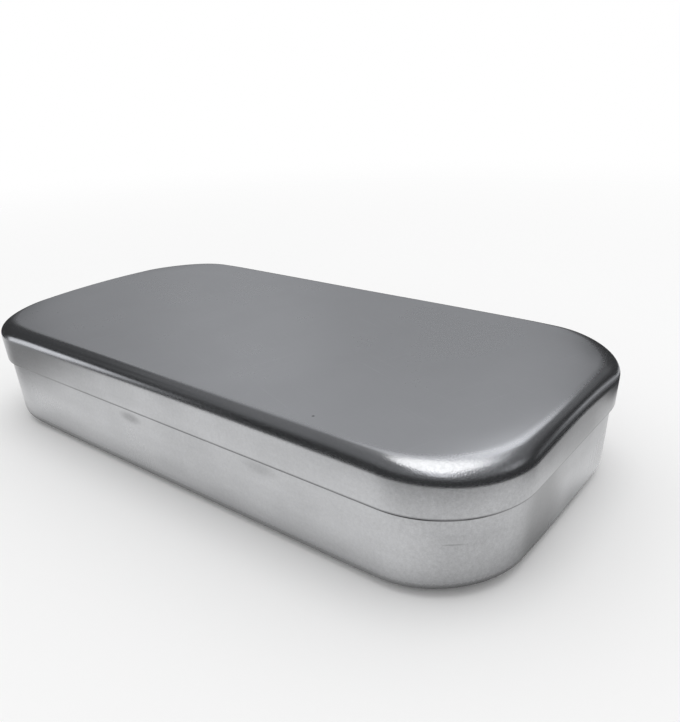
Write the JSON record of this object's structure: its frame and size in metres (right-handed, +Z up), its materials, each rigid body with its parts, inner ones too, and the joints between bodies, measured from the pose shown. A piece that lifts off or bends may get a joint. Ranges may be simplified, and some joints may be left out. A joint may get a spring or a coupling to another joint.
{
  "type": "surgical instrument box",
  "caption": "Flat rectangular stainless steel instrument box with round corners: a drawn pan and a slip-over lid that lifts off.",
  "frame": {"origin": "under the middle of the pan's flat bottom, on the surface that the box stands on", "axes": "+X along the box's length, +Y across its width, +Z up, the way the lid lifts"},
  "size_m": [0.182, 0.092, 0.033],
  "materials": {
    "pan_steel": "satin drawn stainless steel, fine grain, faint upright draw streaks on the corners",
    "lid_steel": "satin drawn stainless steel, smooth flat top, coarser grain round the bent edge"
  },
  "bodies": {
    "pan": {"base_pan": "pan_steel"},
    "lid": {"lid": "lid_steel"}
  },
  "joints": [
    {"name": "lid_lift", "type": "slide", "parent": "pan", "child": "lid", "axis": [0, 0, 1], "range_m": [0, 0.06]}
  ]
}
